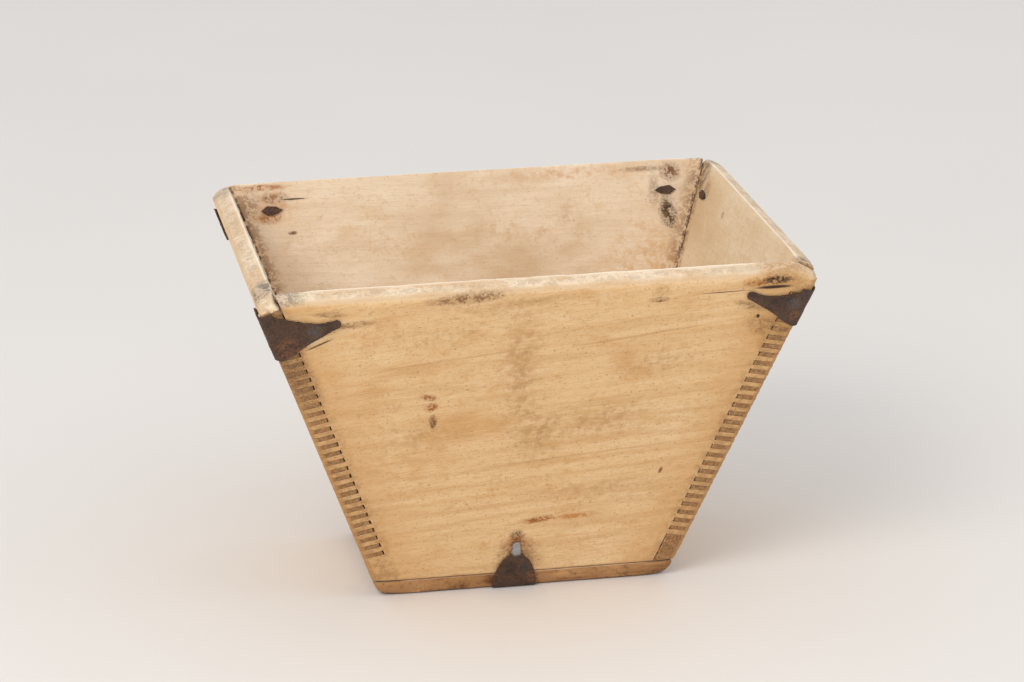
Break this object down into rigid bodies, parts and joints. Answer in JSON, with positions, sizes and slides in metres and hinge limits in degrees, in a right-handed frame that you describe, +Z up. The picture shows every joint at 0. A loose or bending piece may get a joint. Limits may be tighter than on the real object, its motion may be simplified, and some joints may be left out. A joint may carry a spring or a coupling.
{
  "type": "grain scoop box",
  "caption": "Open-topped tapered wooden measure for scooping feed or grain, with finger-jointed leaning boards and forged corner irons.",
  "frame": {"origin": "under the middle of the bottom board, on the surface the scoop stands on", "axes": "+Z up, +X to the right along the longer side, the front faces -Y"},
  "size_m": [0.3225, 0.2626, 0.2095],
  "materials": {
    "side_wood": "bare softwood, worn and yellowed, with dark grain streaks and stains",
    "bottom_wood": "bare softwood, darker and greyer than the sides",
    "forged_iron": "forged, dark brown rust with a dull blue-grey sheen",
    "nail_iron": "rusted square nail heads filed flush"
  },
  "bodies": {
    "root": {"front_board": "side_wood", "back_board": "side_wood", "left_board": "side_wood", "right_board": "side_wood", "bottom_board": "bottom_wood", "corner_iron_front_left": "forged_iron", "corner_iron_front_right": "forged_iron", "corner_iron_back_right": "forged_iron", "corner_iron_back_left": "forged_iron", "base_iron_front": "forged_iron", "base_iron_back": "forged_iron", "bottom_nails": "nail_iron"}
  },
  "joints": []
}
